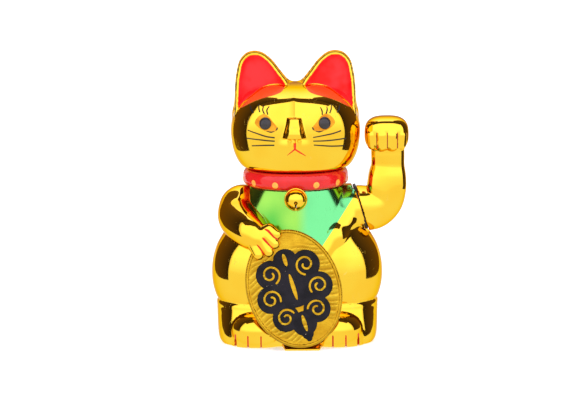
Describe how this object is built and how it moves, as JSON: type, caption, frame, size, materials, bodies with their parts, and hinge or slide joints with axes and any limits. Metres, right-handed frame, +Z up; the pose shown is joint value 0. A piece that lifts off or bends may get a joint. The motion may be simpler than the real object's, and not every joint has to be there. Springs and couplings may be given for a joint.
{
  "type": "beckoning cat figurine",
  "caption": "Gold-plated seated cat figurine with a red collar, green bib and oval coin, whose raised arm beckons on a battery-driven pendulum.",
  "frame": {"origin": "centre of the base plate's lower face, on the surface the cat stands on", "axes": "+Z up, the cat faces -Y, its waving arm is on +X"},
  "size_m": [0.1088, 0.085, 0.1602],
  "materials": {
    "gold_plating": "mirror gold-coloured plating on moulded plastic",
    "red_lacquer": "glossy red lacquer with orange dots",
    "koban_gold": "satin amber gold with chisel marks",
    "ornament_black": "satin black paint on the raised ornament",
    "eye_black": "glossy near-black bead",
    "black_plastic": "black moulded plastic",
    "steel": "plain steel",
    "battery_wrap": "thin plain wrap over a metal can, with no lettering",
    "bobbin_white": "white moulded plastic",
    "copper_wire": "enamelled copper wire",
    "board_green": "green circuit board",
    "capacitor_sleeve": "dark blue sleeve",
    "knob_white": "white moulded plastic",
    "wire_red": "red insulated wire",
    "wire_black": "black insulated wire",
    "wire_blue": "blue insulated wire"
  },
  "bodies": {
    "figurine": {"body_front_shell": "gold_plating", "body_rear_shell": "gold_plating", "head_front_shell": "gold_plating", "head_rear_shell": "gold_plating", "collar": "red_lacquer", "bell": "gold_plating", "bell_clapper": "steel", "koban_coin": "koban_gold", "coin_ornament": "ornament_black", "eye_left": "eye_black", "eye_right": "eye_black", "base_plate": "black_plastic", "base_screws": "steel", "battery": "battery_wrap", "contact_spring": "steel", "contact_plate": "steel", "swing_frame": "black_plastic", "frame_screws": "steel", "coil_bobbin": "bobbin_white", "coil_winding": "copper_wire", "circuit_board": "board_green", "transistor": "black_plastic", "capacitor": "capacitor_sleeve", "switch_body": "steel", "lead_positive": "wire_red", "lead_negative": "wire_black", "lead_switch": "wire_blue", "coil_leads": "copper_wire"},
    "waving_arm": {"arm_front_shell": "gold_plating", "arm_rear_shell": "gold_plating", "shoulder_disc": "black_plastic", "arm_axle": "steel", "axle_clips": "steel", "pendulum_lever": "black_plastic", "counterweight": "steel", "drive_magnet": "steel"},
    "battery_cover": {"battery_door": "black_plastic"},
    "power_switch": {"switch_knob": "knob_white"}
  },
  "joints": [
    {"name": "arm_swing", "type": "hinge", "parent": "figurine", "child": "waving_arm", "pos_m": [0, 0, 0.0724], "axis": [1, 0, 0], "range_deg": [-18, 18]},
    {"name": "battery_cover_lift", "type": "slide", "parent": "figurine", "child": "battery_cover", "axis": [0, 0, -1], "range_m": [0, 0.014]},
    {"name": "power_switch_slide", "type": "slide", "parent": "figurine", "child": "power_switch", "axis": [1, 0, 0], "range_m": [0, 0.0024]}
  ]
}
